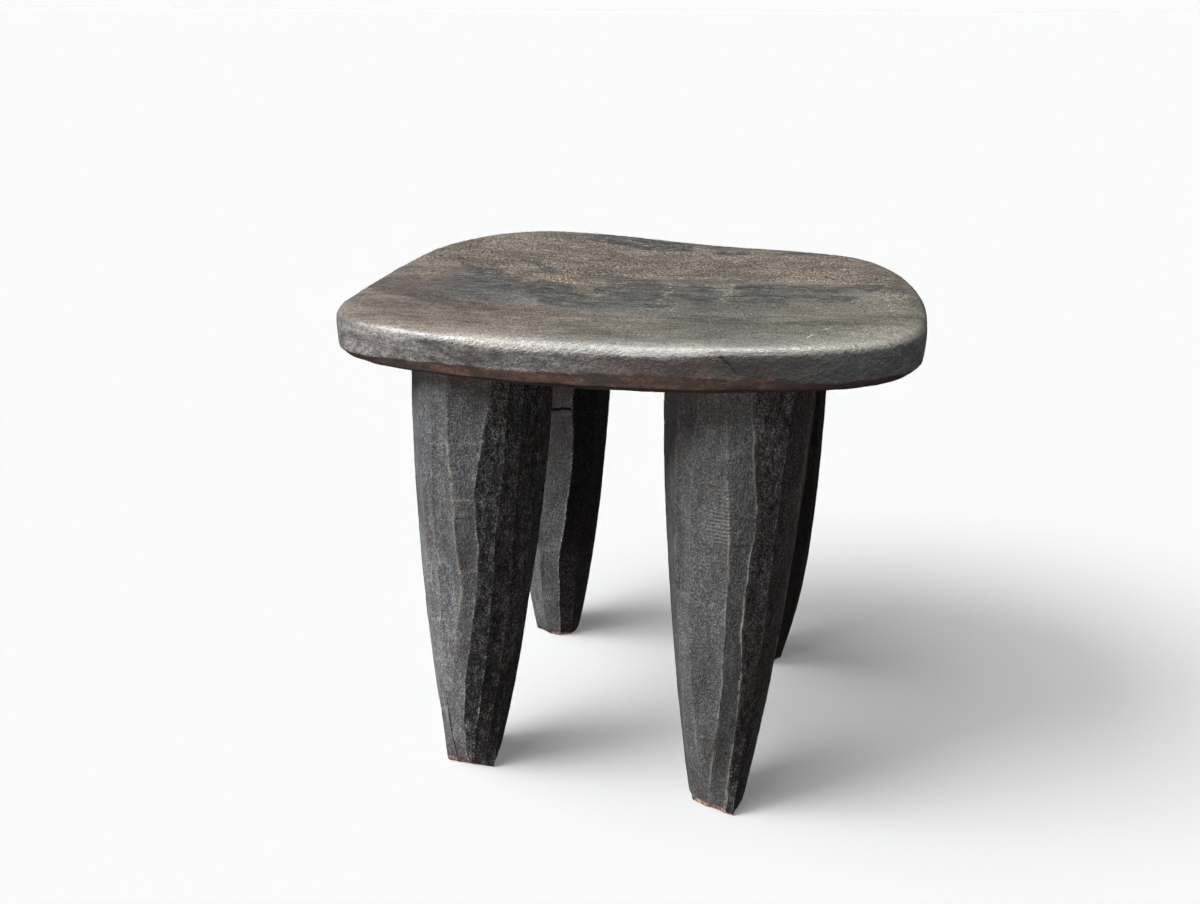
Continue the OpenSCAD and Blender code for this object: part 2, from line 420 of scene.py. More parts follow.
class Finish:
    """One material's nodes. Sizes and places are in mm, colours in screen values of 0 to 255."""

    def __init__(self, name):
        self.material = bpy.data.materials.new(name)
        self.material.use_nodes = True
        self.tree = self.material.node_tree
        self.surface = self.tree.nodes["Principled BSDF"]
        self.place = self.vector("MULTIPLY", self.node("TexCoord").outputs["Object"], (1000, 1000, 1000))

    def node(self, kind, inputs=None, **settings):
        return add_node(self.tree, kind, inputs, **settings)

    def vector(self, operation, first, second):
        node = self.node("VectorMath", {0: first, 1: second}, operation=operation)
        return node.outputs["Value" if operation == "DOT_PRODUCT" else "Vector"]

    def math(self, operation, first, second=0.0):
        return self.node("Math", {0: first, 1: second}, operation=operation).outputs[0]

    def times(self, first, second):
        return self.math("MULTIPLY", first, second)

    def add(self, total, *others):
        for other in others:
            total = self.math("ADD", total, other)
        return total

    def swing(self, noise, amount):
        """Noise as a value to either side of 0, times an amount."""
        return self.times(self.math("SUBTRACT", noise, 0.5), amount)

    def noise(self, size, shift=0.0, detail=3.0, roughness=0.6):
        """Noise of about 0.3 to 0.7; size is one value or one for each axis."""
        sizes = (size,) * 3 if isinstance(size, (int, float)) else size
        spot = self.vector("MULTIPLY", self.place, tuple(1 / s for s in sizes))
        spot = self.vector("ADD", spot, (shift,) * 3)
        inputs = {"Vector": spot, "Scale": 1.0, "Detail": detail, "Roughness": roughness}
        return self.node("TexNoise", inputs).outputs[0]

    def stroke(self, start, end, width):
        """1 on a fine wavy line from start to end, right through along Y, or along Z if their Y differs."""
        start, end = Vector(start), Vector(end)
        along = (end - start).normalized()
        across = Vector((0, 1, 0)).cross(along) if start.y == end.y else Vector((0, 0, 1)).cross(along)
        wave = self.swing(self.noise(5, 3.7, 2), 5.0)
        aside = self.vector("DOT_PRODUCT", self.place, tuple(across))
        aside = self.math("SUBTRACT", aside, across.dot(start))
        far = self.vector("DOT_PRODUCT", self.place, tuple(along))
        far = self.math("SUBTRACT", far, along.dot(start))
        length = (end - start).length
        line = self.step(self.math("ABSOLUTE", self.add(aside, wave)), width, 0.3 * width)
        ends = self.times(self.step(far, 0, 3), self.step(far, length, length - 3))
        return self.times(line, ends)

    def slanted(self, degrees, long, short, shift):
        """Noise drawn out along lines that climb at an angle from the X axis up the front rim's slope."""
        turn = math.radians(degrees)
        slope = math.sqrt(0.5)
        inputs = {2: shift}
        lines = ((math.cos(turn), math.sin(turn), long), (-math.sin(turn), math.cos(turn), short))
        for k, (level, rise, size) in enumerate(lines):
            line = (level / size, slope * rise / size, slope * rise / size)
            inputs[k] = self.vector("DOT_PRODUCT", self.place, line)
        joined = self.node("CombineXYZ", inputs)
        return self.node("TexNoise", {"Vector": joined.outputs[0], "Scale": 1.0}).outputs[0]

    def cracks(self, size, shift, bend=0.12):
        """Distance to the border between scattered cells, in cell sizes, for a network of fine lines."""
        wander = self.node("TexNoise", {"Scale": 1 / 5, "Vector": self.place}).outputs["Color"]
        spot = self.vector("MULTIPLY", self.place, tuple(1 / s for s in size))
        spot = self.vector("ADD", spot, self.tint(wander, bend))
        spot = self.vector("ADD", spot, (shift,) * 3)
        cells = self.node("TexVoronoi", {"Scale": 1.0, "Vector": spot}, feature="DISTANCE_TO_EDGE")
        return cells.outputs["Distance"]

    def step(self, value, low, high):
        """0 at low and below, 1 at high and above, smooth between; low may be the greater."""
        inputs = {"Value": value, "From Min": low, "From Max": high}
        return self.node("MapRange", inputs, interpolation_type="SMOOTHSTEP").outputs[0]

    def mask(self, name):
        """The piece's own values of this name."""
        return self.node("Attribute", attribute_name=name).outputs["Fac"]

    def mix(self, first, second, share):
        """Colours or their sockets, from first at share 0 to second at share 1."""
        inputs = {0: share}
        for place, colour in ((6, first), (7, second)):
            inputs[place] = colour if isinstance(colour, bpy.types.NodeSocket) else linear(colour)
        return self.node("Mix", inputs, data_type="RGBA").outputs[2]

    def tint(self, colour, amount):
        """Makes a colour socket lighter or darker by a factor."""
        return self.node("VectorMath", {0: colour, "Scale": amount}, operation="SCALE").outputs["Vector"]

    def lerp(self, low, high, share):
        """A number from low at share 0 to high at share 1."""
        return self.node("MapRange", {"Value": share, "To Min": low, "To Max": high}).outputs[0]

    def close(self, colour, roughness, height, depth):
        """Sets the surface's colour, roughness, and a bump of this depth in mm."""
        bump = self.node("Bump", {"Strength": 1.0, "Distance": depth / 1000, "Height": height})
        self.tree.links.new(colour, self.surface.inputs["Base Color"])
        self.tree.links.new(roughness, self.surface.inputs["Roughness"])
        self.tree.links.new(bump.outputs["Normal"], self.surface.inputs["Normal"])
        return self.material


def seat_finish():
    """Worn grey-brown wood with dark patches on top, a band along the front that is partly a painted
    highlight, grey or brown sides with a slate right end that is partly a painted reflection, and a
    red-brown bevel.
    """
    f = Finish("seat_wood_finish")
    long_grain = f.noise((42, 9, 9), 3.1, 4, 0.62)
    short_grain = f.noise((13, 5, 4), 12.6, 3, 0.65)
    broad = f.step(f.noise((60, 34, 14), 8.4, 3, 0.6), 0.36, 0.64)
    blotch = f.noise((13, 8, 6), 15.2, 4, 0.66)
    speckle = f.noise((0.85, 2.4, 1.1), 21.7, 1, 0.7)
    lines = f.noise((17, 2.8, 3), 37.1, 3, 0.62)
    streaks = f.noise((7, 2.4, 2.4), 54.9, 4, 0.7)
    long_streaks = f.noise((28, 4.5, 6), 66.3, 4, 0.66)
    fibres = f.noise((12, 1.5, 1.5), 48.3, 2, 0.6)
    fine = f.noise(2.6, 5.9, 3, 0.65)
    pits = f.noise((2.6, 4, 2.2), 29.3, 3, 0.7)

    # The top: brownish in front, greener to the right, greyer in places, warmer behind a ragged border
    brownish = f.mix((92, 83, 76), (120, 110, 100), broad)
    greenish = f.mix((82, 79, 72), (108, 103, 94), broad)
    greyish = f.mix((74, 75, 74), (104, 104, 102), broad)
    front = f.mix(brownish, greenish, f.mask("front_right"))
    front = f.mix(front, greyish, f.times(f.mask("grey"), 0.8))
    back = f.mix((84, 76, 67), (108, 98, 87), f.step(f.noise((34, 26, 14), 84.6, 3, 0.6), 0.36, 0.64))
    far_back = f.add(f.mask("back"), f.swing(streaks, 2.2), f.swing(short_grain, 1.2))
    far_back = f.step(far_back, 0.2, 0.8)
    top = f.mix(front, back, far_back)

    # Umber and slate patches with ragged edges, dark lines and fibres, pale fibres and flecks
    uneven = f.add(f.swing(long_grain, 0.8), f.swing(short_grain, 1.2), f.swing(streaks, 2.2))
    umber = f.mix((58, 50, 47), (84, 76, 71), f.step(streaks, 0.38, 0.62))
    umber_share = f.step(f.add(uneven, f.mask("umber")), 0.35, 0.75)
    top = f.mix(top, umber, f.times(umber_share, 0.8))
    slate = f.mix((30, 32, 32), (82, 82, 78), f.step(streaks, 0.36, 0.62))
    slate_share = f.step(f.add(uneven, f.mask("dark")), 0.15, 0.75)
    top = f.mix(top, slate, f.times(slate_share, 0.94))
    line_share = f.times(f.step(lines, 0.45, 0.37), f.lerp(0.3, 1.0, f.mask("dark")))
    top = f.mix(top, (36, 37, 37), line_share)
    banded = f.math("MAXIMUM", f.mask("dark"), f.times(f.mask("grey"), 0.4))
    dark_fibres = f.times(f.step(fibres, 0.45, 0.37), f.times(banded, 0.8))
    top = f.mix(top, (20, 21, 22), dark_fibres)
    pale_fibres = f.times(f.step(fibres, 0.57, 0.66), f.times(banded, 0.4))
    top = f.mix(top, (132, 127, 117), pale_fibres)
    flecks = f.times(f.mask("pale"), f.step(f.noise((3.6, 3, 2), 33.3, 3, 0.7), 0.47, 0.6))
    top = f.mix(top, (158, 143, 124), f.times(flecks, 0.8))

    # Streaks all over, speckle that is strongest at the back, and a band along the front, lighter from wear
    # and partly a painted highlight leading up to the rim's shine
    top = f.tint(top, f.lerp(0.86, 1.14, f.step(long_streaks, 0.36, 0.64)))
    top = f.tint(top, f.lerp(0.84, 1.16, f.step(streaks, 0.36, 0.64)))
    grain = f.swing(speckle, f.times(f.lerp(0.4, 1.0, far_back), 8.0))
    top = f.tint(top, f.math("MAXIMUM", f.add(grain, 1.0), 0.3))
    # Painted highlight, partly wear: a paler band on top along the front edge
    top = f.mix(top, (114, 111, 106), f.times(f.mask("worn_band"), 0.45))
    top = f.tint(top, f.lerp(0.5, 0.82, f.mask("worn_band")))

    # The side face with its zones from left to right, the right end's slate partly a painted cool
    # reflection, the bevel and the underside
    soft_blotch = f.step(blotch, 0.36, 0.64)
    sharp_blotch = f.step(blotch, 0.38, 0.62)
    pitted = f.step(pits, 0.36, 0.66)
    side = f.mix((50, 47, 46), (104, 100, 97), sharp_blotch)
    side = f.mix(side, f.mix((78, 74, 71), (128, 123, 119), soft_blotch), f.mask("side_pale"))
    side = f.mix(side, f.mix((36, 26, 23), (73, 56, 51), sharp_blotch), f.mask("side_brown"))
    # Slate at the right end, lighter and cooler in part as a painted reflection
    side = f.mix(side, f.mix((42, 46, 52), (86, 91, 99), soft_blotch), f.mask("side_slate_and_reflection"))
    side = f.tint(side, f.lerp(0.7, 1.3, pitted))
    side = f.tint(side, f.lerp(0.6, 1.4, f.step(f.noise(0.95, 74.2, 1, 0.7), 0.3, 0.7)))
    side = f.tint(side, f.lerp(0.63, 0.22, f.mask("side_dark")))
    bevel = f.mix((40, 23, 17), (110, 70, 52), soft_blotch)
    bevel = f.tint(bevel, f.lerp(0.4, 1.25, pitted))
    bevel = f.tint(bevel, f.lerp(0.82, 0.3, f.mask("bevel_dark")))
    under = f.mix((40, 34, 31), (70, 60, 53), f.step(blotch, 0.35, 0.68))
    under = f.tint(under, f.lerp(0.78, 1.24, f.step(long_grain, 0.32, 0.68)))

    # All of them joined along ragged borders, then the crack and the scratches
    to_side = f.add(f.mask("side"), f.swing(fine, 1.6))
    to_bevel = f.add(f.mask("bevel"), f.swing(fine, 3.0))
    colour = f.mix(top, side, f.step(to_side, 0.3, 0.8))
    colour = f.mix(colour, bevel, f.step(to_bevel, 0.36, 0.64))
    colour = f.mix(colour, under, f.mask("under"))
    crack = f.times(f.stroke(*[(x, 0, z) for x, z in SIDE_CRACK], 0.8), f.mask("crack"))
    colour = f.mix(colour, (4, 3, 3), crack)
    for start, end in SCRATCHES:
        scratch = f.times(f.stroke((*start, 0), (*end, 0), 0.6), f.step(speckle, 0.4, 0.5))
        colour = f.mix(colour, (186, 182, 172), f.times(scratch, 0.5))

    # Smoothest on the rim, but for small matt dents
    dents = f.step(f.noise((3.4, 1.5, 1.3), 91.5, 2, 0.7), 0.5, 0.6)
    dents = f.times(dents, f.mask("rim"))
    roughness = f.add(
        f.lerp(0.44, 0.32, f.mask("rim")),
        f.times(f.mask("side"), f.lerp(0.16, 0.3, f.mask("dull"))),
        f.times(dents, 0.22),
        f.times(crack, 0.4),
        f.times(f.mask("under"), 0.2),
        f.swing(pits, 0.25),
    )
    height = f.add(
        f.times(long_grain, 0.7),
        f.times(short_grain, 0.6),
        f.times(fine, 0.4),
        f.times(f.slanted(28, 8, 1.7, 44.0), f.mask("ripple")),
        f.times(pits, f.lerp(0.15, 1.6, f.mask("side"))),
        f.times(crack, -2.4),
        f.times(dents, -0.2),
    )
    f.surface.inputs["Specular IOR Level"].default_value = SEAT_SPECULAR
    return f.close(colour, roughness, height, 0.5)


def leg_finish():
    """Charcoal wood with pale specks and scratches, tan worn ridges, bare wood at the chipped feet, painted
    shade on the side away from the key light and a painted highlight on one ridge.
    """
    f = Finish("leg_wood_finish")
    streak = f.noise((3.2, 3.2, 22), 2.7, 4, 0.65)
    blotch = f.noise((16, 16, 34), 9.6, 3, 0.55)
    grit = f.noise((0.8, 0.8, 1.0), 14.1, 1, 0.7)
    folds = f.math("SUBTRACT", f.noise((1.7, 1.7, 2.1), 24.8, 1, 0.5), 0.5)
    wrinkles = f.step(f.math("ABSOLUTE", folds), 0.11, 0.0)
    coarse = f.noise((2.6, 2.6, 4), 19.8, 3, 0.7)
    fibre = f.noise((1.1, 1.1, 5), 27.4, 3, 0.7)
    pools = f.noise((4, 4, 9), 71.3, 4, 0.72)

    # Charcoal skin; on the side away from the key light painted shade, with more contrast, pale crests and
    # dark soot pools
    colour = f.mix((86, 88, 90), (103, 105, 107), f.step(blotch, 0.34, 0.68))
    colour = f.mix(colour, (90, 85, 82), f.step(f.noise((12, 12, 30), 51.7, 3, 0.6), 0.52, 0.7))
    colour = f.tint(colour, f.mask("tone"))
    colour = f.tint(colour, f.lerp(0.86, 1.12, f.step(streak, 0.34, 0.66)))
    colour = f.tint(colour, f.lerp(0.62, 1.38, f.step(grit, 0.32, 0.68)))
    colour = f.tint(colour, f.lerp(0.78, 1.42, wrinkles))
    colour = f.tint(colour, f.lerp(1.0, f.lerp(0.55, 2.3, wrinkles), f.mask("soot_and_painted_shade")))
    colour = f.tint(colour, f.lerp(1.0, f.lerp(0.6, 1.6, f.step(grit, 0.36, 0.64)), f.mask("soot_and_painted_shade")))
    colour = f.tint(colour, f.lerp(0.92, 1.08, f.step(coarse, 0.34, 0.66)))
    # Painted shade and soot: darkest on that side, in pools
    sooty_and_shaded = f.add(f.swing(pools, 2.4), f.mask("soot_and_painted_shade"))
    colour = f.tint(colour, f.lerp(1.0, 0.3, f.step(sooty_and_shaded, 0.35, 0.8)))

    # Pale marks: flecks, a net of fine scratches and the scores
    flecks = f.times(f.step(fibre, 0.6, 0.66), f.step(coarse, 0.45, 0.6))
    colour = f.mix(colour, (150, 149, 146), f.times(flecks, 0.7))
    network = f.step(f.cracks((6.5, 6.5, 24), 4.4), 0.06, 0.02)
    network = f.times(network, f.step(f.noise((7, 7, 12), 61.2, 3, 0.6), 0.47, 0.54))
    network = f.times(network, f.mask("scratched"))
    colour = f.mix(colour, (170, 170, 166), f.times(network, 0.5))
    for (x, z), (end_x, end_z), strength in LEG_SCORES:
        score = f.times(f.stroke((x, 0, z), (end_x, 0, end_z), 0.8), f.mask("scored"))
        score = f.times(score, f.step(fibre, 0.36, 0.5))
        colour = f.mix(colour, (168, 164, 155), f.times(score, strength))

    # Worn ridges with a painted highlight along one, the ripples' crests, bare wood at the foot, and the
    # crack
    worn = f.times(f.mask("wear_and_highlight"), f.step(f.noise((2, 2, 8), 41.3, 3, 0.7), 0.42, 0.54))
    # Pale ridges: wear, and on one ridge a painted highlight
    colour = f.mix(colour, (166, 159, 147), worn)
    colour = f.mix(colour, (150, 140, 126), f.times(f.mask("ripple"), 0.5))
    bare = f.add(f.mask("bare"), f.swing(grit, 0.8))
    bare_wood = f.mix((126, 98, 84), (222, 190, 168), f.step(fibre, 0.38, 0.62))
    colour = f.mix(colour, bare_wood, f.step(bare, 0.4, 0.6))
    colour = f.mix(colour, (8, 7, 7), f.step(f.mask("crack"), 0.35, 0.8))

    roughness = f.lerp(0.58, 0.78, f.step(coarse, 0.35, 0.66))
    height = f.add(
        f.times(grit, 0.6),
        f.times(fibre, 0.4),
        f.times(wrinkles, 0.32),
        f.times(coarse, 1.1),
        f.times(streak, 0.5),
    )
    height = f.times(height, f.lerp(1.0, 2.4, f.mask("soot_and_painted_shade")))
    f.surface.inputs["Specular IOR Level"].default_value = LEG_SPECULAR
    return f.close(colour, roughness, height, 0.6)


def polar(points):
    """Angle and distance from the middle of the stool, seen from above."""
    return np.arctan2(points[:, 1], points[:, 0]), np.hypot(points[:, 0], points[:, 1])


def outline_radius(points, directions):
    """The seat outline's radius in each direction, from the frame's seat, with its corners smoothed."""
    samples, reach, softness = 720, 16, 5
    angle, radius = polar(points)
    order = np.argsort(angle)
    order = order[radius[order] > radius.max() / 3]
    breaks = np.flatnonzero(np.diff(angle[order]) > 0.01) + 1
    groups = np.split(order, breaks)
    known_angle = np.array([angle[g].mean() for g in groups])
    known_radius = np.array([radius[g].max() for g in groups])
    ring = np.linspace(-np.pi, np.pi, samples, endpoint=False)
    even = np.interp(ring, known_angle, known_radius, period=2 * np.pi)
    weights = np.exp(-0.5 * (np.arange(-reach, reach + 1) / softness) ** 2)
    padded = np.concatenate([even[-reach:], even, even[:reach]])
    even = np.convolve(padded, weights / weights.sum(), "valid")
    return np.interp(directions, ring, even, period=2 * np.pi)


def fitted(points, terms):
    """Least squares for the height of points over terms of x and y, as a function of x and y."""
    x, y, z = points.T
    factors = np.linalg.lstsq(np.stack(terms(x, y), axis=1), z, rcond=None)[0]
    return lambda x, y: sum(k * t for k, t in zip(factors, terms(x, y)))


def disc_grid(count):
    """A square grid bent into a unit disc: its points, quads, and the indices round its edge."""
    line = np.linspace(-1, 1, count + 1)
    u, v = np.meshgrid(line, line, indexing="ij")
    points = np.stack([u * np.sqrt(1 - v**2 / 2), v * np.sqrt(1 - u**2 / 2)], axis=-1).reshape(-1, 2)
    index = np.arange((count + 1) ** 2).reshape(count + 1, count + 1)
    corners = [index[:-1, :-1], index[1:, :-1], index[1:, 1:], index[:-1, 1:]]
    quads = np.stack(corners, axis=-1).reshape(-1, 4)
    edge = np.concatenate([index[:-1, 0], index[-1, :-1], index[:0:-1, -1], index[0, :0:-1]])
    return points, quads, edge


def rim_profile(wander, power):
    """Rings down the rim as inset and drop; wander moves the bevel's upper edge up or down.

    A power of 1 makes the worn edge a quarter of a circle, and a smaller one makes it squarer.
    """
    rings = []
    for k in range(1, WORN_RINGS + 1):
        turn = math.pi / 2 * k / WORN_RINGS
        inset = WORN_EDGE * (1 - math.sin(turn) ** power)
        rings.append((inset, WORN_EDGE * (1 - max(math.cos(turn), 0) ** power)))
    stations = [(0, WORN_EDGE), (SIDE_FOOT[0], SIDE_FOOT[1] + wander), BEVEL_FOOT, RIM_FOOT]
    counts = (SIDE_RINGS, BEVEL_RINGS, FOOT_RINGS)
    for (inset, drop), (next_inset, next_drop), count in zip(stations, stations[1:], counts):
        for k in range(1, count + 1):
            share = k / count
            rings.append((inset + (next_inset - inset) * share, drop + (next_drop - drop) * share))
    return rings


def patches(points, spots, seed):
    """How strongly the listed patches cover each point, with wandering outlines."""
    wander = rough(points, (17, 9, 30), seed, 3)
    total = np.zeros(len(points))
    for x, y, half_length, half_width, turn, strength in spots:
        away_x, away_y = points[:, 0] - x, points[:, 1] - y
        turned = math.radians(turn)
        along = (away_x * math.cos(turned) + away_y * math.sin(turned)) / half_length
        across = (away_y * math.cos(turned) - away_x * math.sin(turned)) / half_width
        total = np.maximum(total, strength * ease(along**2 + across**2 + 0.5 * wander, 1.4, 0.4))
    return total


def seat_form(cad, middle):
    """The seat's points and quads, and how far down the rim each point lies.

    Its outline, dish and flat underside follow the frame's seat, whose middle height is given.
    """
    grid, grid_quads, edge = disc_grid(SEAT_GRID)
    directions = np.arctan2(grid[edge, 1], grid[edge, 0])
    angle, radius = polar(cad)
    limit = outline_radius(cad, angle)
    on_top = (cad[:, 2] > middle) & (radius < limit - WORN_EDGE + 1)
    beneath = (cad[:, 2] < middle) & (radius < limit - FLAT_INSET + 1)
    top_height = fitted(cad[on_top], lambda x, y: [x * 0 + 1, x, y, x * x, y * y])
    flat_height = fitted(cad[beneath], lambda x, y: [x * 0 + 1, x, y])

    outline = outline_radius(cad, directions)
    around = np.stack([np.cos(directions), np.sin(directions), 0 * directions], axis=1)
    rim_places = around * outline[:, None]
    raise_x, raise_height = np.array(BEVEL_RAISE, float).T
    wander = BEVEL_WANDER * rough(rim_places, 26, 71, 3) - np.interp(rim_places[:, 0], raise_x, raise_height)
    grid_angle, reach = polar(grid)
    inner = outline_radius(cad, grid_angle)
    unit = grid / np.maximum(reach, 1e-9)[:, None]

    def cap(inset, height):
        """The whole grid, drawn out to an inset from the outline."""
        spread = reach * (inner - inset)
        x, y = unit[:, 0] * spread, unit[:, 1] * spread
        return np.stack([x, y, height(x, y)], axis=1)

    def ring_at(inset):
        return around[:, 0] * (outline - inset), around[:, 1] * (outline - inset)

    rows = [cap(WORN_EDGE, top_height)]
    middle_front = ease(rim_places[:, 0], -80, -30) * ease(rim_places[:, 0], 80, 40) * (rim_places[:, 1] < 0)
    rings = rim_profile(wander, WORN_POWER + (MIDDLE_WORN_POWER - WORN_POWER) * middle_front)
    for inset, drop in rings:
        x, y = ring_at(inset)
        rows.append(np.stack([x, y, top_height(x, y) - drop], axis=1))
    last = rows[-1]
    for k in range(1, TURN_RINGS):
        share = k / TURN_RINGS
        x, y = ring_at(RIM_FOOT[0] + (FLAT_INSET - RIM_FOOT[0]) * share)
        eased = share * share * (3 - 2 * share)
        rows.append(np.stack([x, y, last[:, 2] * (1 - eased) + flat_height(x, y) * eased], axis=1))
    rows.append(cap(FLAT_INSET, flat_height))
    points = np.concatenate(rows)

    loops = [edge]
    for k in range(len(rows) - 2):
        loops.append(len(grid) + k * len(edge) + np.arange(len(edge)))
    bottom_start = len(points) - len(grid)
    loops.append(bottom_start + edge)
    quads = [grid_quads]
    for upper, lower in zip(loops, loops[1:]):
        quads.append(np.stack([upper, lower, np.roll(lower, -1), np.roll(upper, -1)], axis=1))
    quads.append(bottom_start + grid_quads[:, ::-1])

    depth = np.zeros(len(points))
    for k, (_, drop) in enumerate(rim_profile(0.0, WORN_POWER)):
        depth[loops[k + 1]] = drop
    depth[loops[len(rings) + 1]] = RIM_FOOT[1]
    depth[bottom_start:] = RIM_FOOT[1] + 6
    for k in range(len(rings) + 1, len(loops)):
        depth[loops[k]] = RIM_FOOT[1] + 2 * (k - len(rings))
    return points, np.concatenate(quads), depth


def build_seat():
    """The dished seat with its worn edge, side face, bevel and tooled underside."""
    cad = node_points("seat")
    middle = (cad[:, 2].min() + cad[:, 2].max()) / 2
    points, quads, depth = seat_form(cad, middle)
    outward = normals(points, quads)

    # Zones
    x = points[:, 0]
    angle, radius = polar(points)
    from_edge = outline_radius(cad, angle) - radius
    upper_side = depth < SIDE_FOOT[1]
    rim = ease(from_edge, 22, 7) * ease(depth, 9, 5) * (points[:, 2] > middle)
    fall = np.clip(1 - from_edge / EDGE_FALL_REACH, 0, 1) ** 2 * ease(depth, SIDE_FOOT[1], 0)
    points[:, 2] -= fall * (EDGE_FALL + (RIGHT_EDGE_FALL - EDGE_FALL) * ease(x, 60, 150))
    right_end = ease(x, 110, 142)
    side = ease((depth + 1.8 * right_end) / (1 + 0.1 * right_end), 2.5, 7)
    bevel = ease(depth, SIDE_FOOT[1] - 0.6, SIDE_FOOT[1] + 0.4)
    under = ease(depth, BEVEL_FOOT[1] - 0.5, RIM_FOOT[1] + 2)

    # Shape: gentle waves, soft cuts round the side, scooped tool marks beneath, the crack and the low back
    shift = 0.55 * noise(points, (70, 45, 60), 5) + 0.18 * rough(points, (26, 14, 20), 9, 2)
    shift += side * (1 - under) * 0.35 * rough(points, (19, 19, 16), 13, 2)
    shift += bevel * (1 - under) * 0.3 * rough(points, (9, 9, 5), 17, 2)
    scoops = cell_distance(points, (34, 19), 29) ** 2
    shift += under * (1.1 * scoops - 0.5 + 0.2 * rough(points, (12, 7, 9), 31, 2))
    wandering = points + 1.2 * np.stack([noise(points, 7, 43), noise(points, 7, 47), 0 * depth], axis=1)
    crack = ease(segment_distance(wandering[:, [0, 2]], SIDE_CRACK), 1.8, 0.2) * upper_side
    crack *= (points[:, 1] < CRACK_FRONT) * (depth > 2)
    shift -= 0.4 * crack
    points = points + outward * shift[:, None]
    dip_x, dip_y, half_length, half_width, dip_depth = BACK_DIP
    away = np.hypot((points[:, 0] - dip_x) / half_length, (points[:, 1] - dip_y) / half_width)
    points[:, 2] -= dip_depth * np.exp(-(away**2)) * ease(points[:, 2], middle - 4, middle + 8)

    # Masks for the finish
    x, y = points[:, 0], points[:, 1]
    limit_x, limit_y = np.array(BACK_LIMIT, float).T
    border = np.interp(x, limit_x, limit_y) + 7 * noise(points, (15, 8, 30), 98)
    left_end = ease(x, -60, -120)
    # A band along the front edge: wear and partly painted highlight
    worn_band = ease(from_edge, 32, 2) ** (1.5 - 0.7 * ease(x, 20, 70))
    worn_band *= (depth < 5) * (1 - 0.6 * left_end)
    worn_band *= ease(y, -50, -105)
    masks = {
        "rim": rim * np.clip(0.85 - 0.8 * left_end + 0.5 * rough(points, (40, 20, 20), 53, 2), -0.8, 1),
        "side": side,
        "bevel": bevel,
        "under": under,
        "back": ease(y - border, -9, 9),
        "front_right": ease(x, -60, 30),
        "dark": patches(points, DARK_PATCHES, 61),
        "umber": patches(points, UMBER_PATCHES, 63),
        "grey": patches(points, GREY_PATCHES, 65),
        "pale": patches(points, PALE_PATCHES, 67),
        "side_brown": ease(x, -20, 40) * (1 - right_end),
        # The right end: slate, partly a painted cool reflection
        "side_slate_and_reflection": right_end,
        "side_pale": ease(x + 3 * noise(points, 8, 101), -86, -96),
        "side_dark": ease(x, 64, 92) * (1 - 0.5 * ease(x, 130, 158)),
        "dull": ease(x, 70, 100) * (y < 0),
        "ripple": rim * ease(x, -110, -60) * ease(x, 60, 0) * (y < 0),
        "worn_band": worn_band,
        "bevel_dark": 0.6 * ease(x, -82, -112) + ease(x, 95, 125),
        "crack": (y < CRACK_FRONT) * upper_side * 1.0,
    }
    return add_piece("seat_carved", points, quads.tolist(), masks, seat_finish(), "seat")


def leg_axis(cad):
    """Centres of the frame leg's sole and top, and its radius by height as polynomial factors."""
    low, high = cad[:, 2].min(), cad[:, 2].max()
    sole = cad[cad[:, 2] < low + 0.5]
    top = cad[cad[:, 2] > high - 4]
    sole_centre = (sole.min(0) + sole.max(0)) / 2
    top_centre = (top.min(0) + top.max(0)) / 2
    share = (cad[:, 2] - sole_centre[2]) / (top_centre[2] - sole_centre[2])
    centre = sole_centre + share[:, None] * (top_centre - sole_centre)
    away = np.hypot(cad[:, 0] - centre[:, 0], cad[:, 1] - centre[:, 1])
    wall = away > 5
    return sole_centre, top_centre, np.polyfit(cad[wall, 2], away[wall], 4)


def ridge_lines(leg, heights):
    """Angles in degrees of all ridges at the heights, one row each, the unseen ones spread over the rest."""
    spot = np.stack([heights * 0, heights * 0, heights], axis=1)
    half_window = 12
    window = 2 * half_window + 1
    lines = []
    for levels in leg["ridges"]:
        line = np.interp(heights, RIDGE_LEVELS, levels)
        padded = np.pad(line, half_window, mode="edge")
        lines.append(np.convolve(padded, np.full(window, 1 / window), "valid"))
    gap = lines[0] + 360 - lines[-1]
    extra = round(gap.mean() / UNSEEN_FACET) - 1
    uneven = np.random.default_rng(leg["seed"]).uniform(-0.22, 0.22, extra)
    last = lines[-1]
    for k in range(extra):
        lines.append(last + gap * (k + 1 + uneven[k]) / (extra + 1))
    for k in range(len(lines)):
        seed = leg["seed"] + 5 * k
        lines[k] = lines[k] + 1.4 * noise(spot, 34, seed) + 0.9 * noise(spot, 12, seed + 1)
    return np.array(lines)


def strokes(heights, seed):
    """Lengthwise tool strokes down one facet: a shallow hollow each, at slightly different depths."""
    picks = np.random.default_rng(seed)
    ends = [-picks.uniform(0, 40)]
    while ends[-1] < heights.max() + 1:
        ends.append(ends[-1] + picks.uniform(*STROKE_LENGTHS))
    which = np.searchsorted(ends, heights, side="right") - 1
    ends = np.array(ends + [ends[-1] + 50])
    share = (heights - ends[which]) / (ends[which + 1] - ends[which])
    levels = picks.uniform(-STROKE_OFFSET, STROKE_OFFSET, len(ends))
    return levels[which] - STROKE_HOLLOW * (1 - (2 * share - 1) ** 2)


